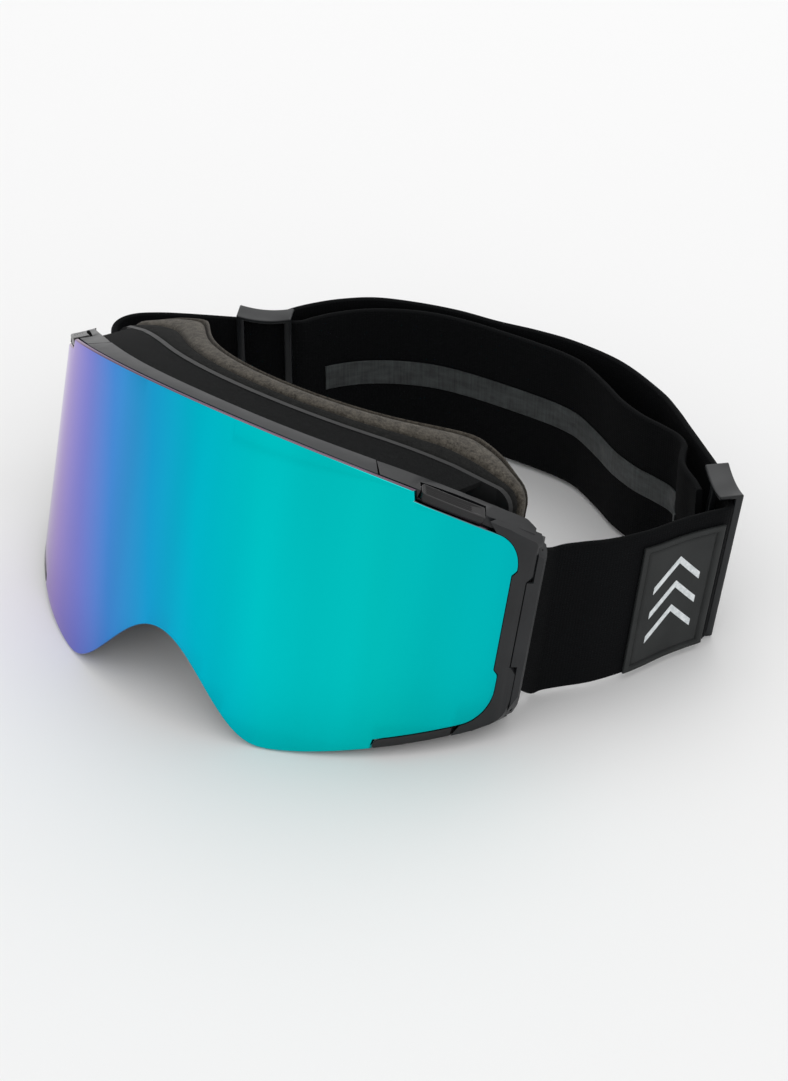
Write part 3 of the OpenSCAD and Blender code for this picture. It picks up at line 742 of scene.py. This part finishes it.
def carried_over():
    """CAD nodes whose own shape is right: they only need their material."""
    looks = {"lens_rim": RIM_PLASTIC, "lens_spacer": VENT_FOAM, "face_frame": RIM_PLASTIC,
             "lens_magnets": STEEL, "frame_magnets": STEEL, "cover_screws": STEEL,
             "top_vent_foam": VENT_FOAM, "bottom_vent_foam": VENT_FOAM}
    for side in ("left", "right"):
        for node in ("tab_pin", "strap_post"):
            looks[f"{node}_{side}"] = STEEL
    for node, look in looks.items():
        mesh = frame["nodes"][node].data
        mesh.materials.clear()
        mesh.materials.append(look)


# ---------- face foam ----------

def foam_outline(count=260):
    """The foam ring's outer outline, seen from the front, as evenly spaced points."""
    high_r, low_r = 6.0, 14.0
    edge = FOAM_HALF
    high = float(top(arc_at(edge - 6))) - FOAM_DROP - high_r - 0.6
    nose = np.arange(0, FOAM_NOSE_HALF, 1.0)
    arch = FOAM_LOW + (FOAM_NOSE_TOP - FOAM_LOW) * (1 + np.cos(np.pi * nose / FOAM_NOSE_HALF)) / 2
    brow = np.arange(64, -0.1, -2.0)
    half = np.concatenate([
        np.stack([nose, arch], 1), [[FOAM_NOSE_HALF + 4, FOAM_LOW]],
        arc_points(edge - low_r, FOAM_LOW + low_r, low_r, -90, 0),
        arc_points(edge - high_r, high, high_r, 0, 66),
        np.stack([brow, top(arc_at(brow)) - FOAM_DROP], 1)])
    loop = both_sides(half)
    closed = np.concatenate([loop, loop[:1]])
    length = np.concatenate([[0], np.cumsum(np.linalg.norm(np.diff(closed, axis=0), axis=1))])
    at = np.linspace(0, length[-1], count, endpoint=False)
    return np.stack([np.interp(at, length, closed[:, i]) for i in (0, 1)], 1)


def smooth_loop(values, passes):
    """Values round a closed outline, each averaged with its neighbours."""
    for _ in range(passes):
        values = (np.roll(values, 1, 0) + 2 * values + np.roll(values, -1, 0)) / 4
    return values


def foam_layer(name, start, end, swell, body, material, nodes):
    """One layer of the ring between two shares of the foam's depth, with bulging sides."""
    outline = counter_clockwise(foam_outline())
    inward = -smooth_loop(outward(outline), 12)
    inward /= np.linalg.norm(inward, axis=1, keepdims=True)
    section = []
    for a in np.linspace(0, 2 * np.pi, 36, endpoint=False):
        c, s = math.cos(a), math.sin(a)
        power = 0.34
        section.append((math.copysign(abs(c) ** power, c), math.copysign(abs(s) ** power, s)))
    rows = []
    for w, d in section:
        share = start + (end - start) * (d + 1) / 2
        width = FOAM_W / 2 * (1 - w) - swell * w * (1 - d * d) + (0.35 * w if abs(d) > 0.9 else 0)
        flat = outline + inward * np.maximum(width, -swell)[..., None]
        x, h = flat[:, 0], flat[:, 1]
        y = foam_front(x) + (foam_back(x) - foam_front(x)) * share
        rows.append(leaning(np.stack([x, smooth_loop(y, 3), h], -1)))
    points = np.stack(rows, 1).reshape(-1, 3)
    points[:, 2] = np.maximum(points[:, 2], 0.0)
    faces = grid_faces(len(outline), len(section), closed=True)
    last, width = (len(outline) - 1) * len(section), len(section)
    faces += [(last + j, last + (j + 1) % width, (j + 1) % width, j) for j in range(width)]
    piece = new_piece(name, points, faces, body, material, nodes)
    return piece


def face_foam():
    foam_layer("foam_base", 0.0, 0.44, 0.4, "goggles", BASE_FOAM, ["base_foam"])
    foam_layer("foam_cushion", 0.455, 0.93, 0.9, "goggles", CUSHION_FOAM, ["cushion_foam"])
    foam_layer("foam_fleece", 0.935, 1.0, 0.5, "goggles", FLEECE, ["fleece_liner"])


# ---------- straps ----------

SLIDER_LEFT = np.array([105.5, 141.2])
SLIDER_RIGHT = np.array([-64.0, 130.8])
LEFT_TURN = math.radians(138)
RIGHT_TURN = math.radians(211)


def way(turn):
    """Unit vector in plan at an angle."""
    return np.array([math.cos(turn), math.sin(turn)])


def left_of(distance):
    return SLIDER_LEFT + distance * way(LEFT_TURN)


def right_of(distance):
    return SLIDER_RIGHT + distance * way(RIGHT_TURN)


SNUG = np.array([1.0, 0.8])  # how far the left band lies inside its slider's outer bar
LEFT_ROUTE = [
    (84.9, 80.5), (86.6, 84), (90.2, 88.7), (96, 96), (101.5, 106.5), (105.4, 118), (108.6, 125.4),
    (110.8, 129.8), (111.4, 131.6), (111.5, 133.2),
    left_of(-8) - SNUG, left_of(-5) - SNUG / 2, left_of(6), left_of(22),
    (80.5, 163), (71, 169.5), (61, 175), (42, 181.5), (24, 182.5), (10, 180.5), (-4, 177), (-18, 174.5),
    (-32, 170), (-44.5, 164), (-53, 156), (-58.5, 148), (-61.8, 141), (-62.7, 135.6)]
RIGHT_ROUTE = [
    (-84.9, 80.5), (-87.5, 83.5), (-94, 88), (-99.6, 94), (-101.3, 100), (-99.6, 105.5), (-95, 110.8),
    right_of(28), right_of(9), right_of(-4.5), right_of(-8),
    (-54.2, 137.4), (-52.4, 141.6), (-49, 148), (-42.6, 156), (-33.6, 163), (-23, 168.3), (-11, 171.3),
    (4, 173.2), (15.4, 174.2), (24, 174.5), (32, 173.6), (38.8, 171), (46, 167.6), (55, 163),
    (64.6, 160), (73, 158.9), (79.8, 157.6), (84.3, 154.6), (86.3, 150.6), (88.6, 146.8),
    (92.4, 143.3), (97.4, 140.2), (101.6, 136.8)]


def curve(route, bits=12):
    """Catmull-Rom curve through a route's points."""
    p = np.array(route, float)
    out = []
    for i in range(len(p) - 1):
        a, b, c, d = p[max(i - 1, 0)], p[i], p[i + 1], p[min(i + 2, len(p) - 1)]
        for k in range(bits):
            t = k / bits
            out.append((2 * b + (c - a) * t + (2 * a - 5 * b + 4 * c - d) * t ** 2
                        + (3 * b - a - 3 * c + d) * t ** 3) / 2)
    return np.array(out + [p[-1]])


def measured(path):
    """Length along a path at each of its points."""
    return np.concatenate([[0], np.cumsum(np.linalg.norm(np.diff(path, axis=0), axis=1))])


class Band:
    """An elastic band between a lower and an upper edge line, both running along its length."""

    def __init__(self, low, high):
        self.low, self.high = curve(low), curve(high)
        middle = (self.low + self.high) / 2
        self.length = measured(middle) / MM
        ahead = np.gradient(middle, axis=0)
        side = np.cross(ahead, self.high - self.low)
        self.side = side / np.linalg.norm(side, axis=1, keepdims=True)

    def at(self, u, v, out):
        """Row positions at a length u along the band, a height v on it and a distance out of its middle."""
        def along(values):
            return np.stack([np.interp(u, self.length, values[:, i]) for i in range(3)], -1)
        share = np.asarray(v)[..., None] / STRAP_W
        outward_by = np.asarray(out)[..., None] * MM
        return along(self.low) * (1 - share) + along(self.high) * share + along(self.side) * outward_by

    def near(self, x, y):
        """The length at which the band's middle passes nearest to an upright position."""
        place = lying([x, y, 0])[:2]
        middle = (self.low + self.high)[:, :2] / 2
        return float(self.length[np.argmin(np.linalg.norm(middle - place, axis=1))])


def post_loop(sign):
    """The turn round the strap post and its stitched-back end: lower and upper edge lines."""
    turn = np.radians(np.linspace(180, 360, 9))
    stitched_end = [(78.6, 72), (78.5, 66)]
    bend = [(POST_X + LOOP_R * math.cos(a), POST_Y + LOOP_R * math.sin(a)) for a in turn]
    way_out = [(84.7, 64.5)]
    plan = np.array(stitched_end + bend + way_out) * [sign, 1]
    edges = [np.column_stack([plan, np.full(len(plan), h)]) for h in (LOOP_LOW, LOOP_HIGH)]
    return leaning(edges[0]), leaning(edges[1])


def make_band(route, lean, sign):
    """A band from its post loop along a route; lean is how far it leans out per millimetre of height."""
    plan = np.array(route, float)
    tilt = lean(measured(plan)) * STRAP_W / 2
    low_loop, high_loop = post_loop(sign)
    low = lying(np.column_stack([plan - tilt, np.full(len(plan), STRAP_Z)]))
    high = lying(np.column_stack([plan + tilt, np.full(len(plan), STRAP_Z + STRAP_W)]))
    return Band(np.concatenate([low_loop, low]), np.concatenate([high_loop, high]))


def ribbon(name, band, start, end, low, high, middle, thick, body, material, nodes, edge=0.7):
    """A strip of cloth or rubber lying along a band between two lengths and two heights."""
    inside = band.length[(band.length > start) & (band.length < end)]
    lengths = np.concatenate([[start], inside, [end]])
    heights = np.concatenate([low + edge * (1 - np.cos(np.linspace(0, np.pi / 2, 4))),
                              np.linspace(low + edge, high - edge, 14)[1:-1],
                              high - edge * (1 - np.cos(np.linspace(np.pi / 2, 0, 4)))])
    near = np.minimum(np.minimum(heights - low, high - heights) / edge, 1)
    bulge = thick / 2 * np.sqrt(np.maximum(1 - (1 - near) ** 2, 0.02))
    v = np.concatenate([heights, heights[::-1]])
    out = middle + np.concatenate([bulge, -bulge[::-1]])
    points = band.at(lengths[:, None] + 0 * v, v[None, :] + 0 * lengths[:, None], out + 0 * lengths[:, None])
    count, width = points.shape[:2]
    faces = grid_faces(count, width, closed=True)
    faces += [tuple(range(width)), tuple((count - 1) * width + i for i in range(width))[::-1]]
    piece = new_piece(name, points.reshape(-1, 3), faces, body, material, nodes)
    layer = piece.data.uv_layers.new(name="along_and_up")
    for index, loop in enumerate(piece.data.loops):
        layer.data[index].uv = (lengths[loop.vertex_index // width], v[loop.vertex_index % width])
    return piece


def left_lean(lengths):
    """The left band starts with the lean of the goggles and stands up again behind its slider."""
    at = [0, 25, 45, 62, 75, 100, 2000]
    x = [0.0, 0.02, 0.05, 0.085, 0.085, 0, 0]
    y = [0.2, 0.17, 0.13, 0.095, 0.095, 0, 0]
    return np.stack([np.interp(lengths, at, x), np.interp(lengths, at, y)], 1)


def right_lean(lengths):
    """The right band starts with the lean of the goggles and stands up soon after."""
    at = [0, 20, 45, 2000]
    return np.stack([np.zeros_like(lengths), np.interp(lengths, at, [0.2, 0.12, 0, 0])], 1)


def between(start, end):
    """Start and end of a bend between two bodies, as row positions at the band's mid height."""
    return [Vector(lying([x, y, STRAP_Z + STRAP_W / 2])) for x, y in (start, end)]


def straps():
    left = make_band(LEFT_ROUTE, left_lean, 1)
    right = make_band(RIGHT_ROUTE, right_lean, -1)
    piece = ribbon("band_left", left, 0, left.length[-1], 0, STRAP_W, 0, STRAP_T, None, WEBBING,
                   ["strap_left"])
    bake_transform(piece, "goggles", "slider_right", *between((-40, 160), (-58, 152)))
    piece = ribbon("band_right", right, 0, right.length[-1], 0, STRAP_W, 0, STRAP_T, None, WEBBING,
                   ["strap_right"])
    at_left_slider = between((70, 160), (98, 140))
    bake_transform(piece, "goggles", "slider_left", *at_left_slider)
    start, end = right.near(-51, 144.5), right.near(89.5, 145.6)
    stripe = ribbon("silicone_stripe", right, start, end, STRIPE_LOW, STRIPE_HIGH, STRIPE_OUT, STRIPE_T,
                    None, SILICONE, ["grip_stripe"], edge=0.3)
    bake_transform(stripe, "goggles", "slider_left", *at_left_slider)
    patch(left)


# ---------- patch on the left band ----------

def patch_relief(u, v, size):
    """Height of the patch's face below its raised border: a groove all round and a lower panel."""
    inside = np.minimum(np.minimum(u, size[0] - u), np.minimum(v, size[1] - v))
    return np.interp(inside, [1.6, 1.9, 2.3, 2.6], [0, -0.65, -0.65, -0.3])


def patch(band):
    """A moulded rubber patch with a raised border, printed with three plain chevrons."""
    start, low = band.near(101.2, 104.2), PATCH_LOW
    size = (band.near(110.7, 131.0) - start, PATCH_H)
    outline = [(start, low), (start + size[0], low), (start + size[0], low + size[1]), (start, low + size[1])]

    def place(u, v, depth):
        relief = np.where(depth <= 0, patch_relief(u - start, v - low, size), 0)
        return band.at(u, v, STRAP_T / 2 + PATCH_T - depth + relief)

    points, faces = plate(outline, place, 0, PATCH_T, edge=0.35, cell=(0.35, 0.35))
    new_piece("patch_body", points, faces, "goggles", PATCH_RUBBER, ["strap_patch"])

    def on_panel(u, v, depth):
        return band.at(u, v, STRAP_T / 2 + PATCH_T - PRINT_IN - depth)

    middle = start + size[0] / 2
    wide, rise, stroke, pitch = 8.4, 8.0, 2.4, 8.4
    lowest_foot = low + 8.5
    printed, print_faces, count = [], [], 0
    for step in range(3):
        foot = lowest_foot + pitch * step
        ends_top = foot + stroke
        chevron = [(middle - wide, foot), (middle, foot + rise), (middle + wide, foot),
                   (middle + wide, ends_top), (middle, foot + rise + stroke), (middle - wide, ends_top)]
        points, faces = plate(chevron, on_panel, 0, PRINT_T, edge=0.06, cell=(1.0, 1.0), steps=1)
        printed.append(points)
        print_faces += [[i + count for i in face] for face in faces]
        count += len(points)
    new_piece("patch_chevrons", np.concatenate(printed), print_faces, "goggles", PRINT)


# ---------- sliders ----------

def strap_slider(side, middle, turn, lean, shift):
    """A strap slider with a saddle-shaped top: its top dips between the bars and it leans with the band."""
    piece = moulded(f"slider_{side}", f"strap_slider_{side}", 0.5, SLIDER_PLASTIC)
    centre = lying([*middle, 0])
    ahead = np.array([*way(turn), 0])
    mesh = bmesh.new()
    mesh.from_mesh(piece.data)
    for at in range(1 - SLIDER_HALF, SLIDER_HALF):
        parts = mesh.verts[:] + mesh.edges[:] + mesh.faces[:]
        bmesh.ops.bisect_plane(mesh, geom=parts, plane_co=centre + ahead * at * MM, plane_no=ahead, dist=1e-6)
    for vertex in mesh.verts:
        x, y, z = vertex.co
        along = float(np.dot(np.array([x, y, 0]) - centre, ahead)) / MM
        height = z / MM
        if height > SADDLE_FROM:
            height += EAR_RISE * (along / SLIDER_HALF) ** 2
            vertex.co.z = height * MM
        out = (height - STRAP_Z - STRAP_W / 2) * lean - shift
        vertex.co.x += out * SLIDER_OUT[0] * MM
        vertex.co.y += out * SLIDER_OUT[1] * MM
    mesh.to_mesh(piece.data)
    mesh.free()
    finish_piece(piece, None, SLIDER_PLASTIC)


def sliders():
    strap_slider("left", SLIDER_LEFT, LEFT_TURN, 0.12, 1.6)
    strap_slider("right", SLIDER_RIGHT, RIGHT_TURN, 0.0, 0.0)


# ---------- stage ----------

CAMERA_TURN = 38.499
CAMERA_RISE = 35.398
CAMERA_DISTANCE = 842.78
CAMERA_TARGET = (39.647, 68.018, 41.646)
FOCAL_LENGTH = 94.81
FLOOR_HALF = 4.0    # metres
SKY_STRENGTH = 0.87


def look_from(position, right, up, back):
    rotation = Matrix((right, up, back)).transposed().to_4x4()
    rotation.translation = position
    return rotation


def camera():
    """The photograph's camera: its direction, distance and the point that it looks at."""
    turn, rise = math.radians(CAMERA_TURN), math.radians(CAMERA_RISE)
    target = Vector(lying(CAMERA_TARGET))
    back = Vector((math.sin(turn) * math.cos(rise), -math.cos(turn) * math.cos(rise), math.sin(rise)))
    right = Vector((math.cos(turn), math.sin(turn), 0))
    data = bpy.data.cameras.new("camera")
    data.lens = FOCAL_LENGTH
    data.sensor_width = 36
    data.clip_start = 0.01
    eye = bpy.data.objects.new("camera", data)
    eye.matrix_world = look_from(target + back * (CAMERA_DISTANCE * MM), right, back.cross(right), back)
    bpy.context.scene.collection.objects.link(eye)
    bpy.context.scene.camera = eye


def soft_box(name, place, aim, size, power):
    """A rectangular lamp that shines from one point at another."""
    data = bpy.data.lights.new(name, "AREA")
    data.shape = "RECTANGLE"
    data.size, data.size_y = size
    data.energy = power
    lamp = bpy.data.objects.new(name, data)
    lamp.location = place
    lamp.rotation_euler = (Vector(place) - Vector(aim)).to_track_quat("Z", "Y").to_euler()
    bpy.context.scene.collection.objects.link(lamp)


def studio():
    floor_look = Material("pale_floor", (238, 238, 238), 0.9, Specular_IOR_Level=0.1)
    mesh = bpy.data.meshes.new("floor")
    corners = [(x * FLOOR_HALF, y * FLOOR_HALF, 0) for x, y in ((-1, -1), (1, -1), (1, 1), (-1, 1))]
    mesh.from_pydata(corners, [], [(0, 1, 2, 3)])
    mesh.materials.append(floor_look.material)
    floor = bpy.data.objects.new("floor", mesh)
    bpy.context.scene.collection.objects.link(floor)
    world = bpy.data.worlds.new("studio")
    world.use_nodes = True
    background = world.node_tree.nodes["Background"]
    background.inputs["Color"].default_value = (1, 1, 1, 1)
    background.inputs["Strength"].default_value = SKY_STRENGTH
    bpy.context.scene.world = world
    soft_box("key_light", (-0.5, 0.9, 1.6), (0, 0, 0), (1.4, 1.4), 9)
    soft_box("fill_light", (1.2, -1.0, 1.0), (0, 0, 0), (1.2, 1.2), 3)
    bpy.context.scene.view_settings.view_transform = "Standard"


camera()
outer_lens()
inner_lens()
moulded_parts()
carried_over()
face_foam()
straps()
sliders()
studio()
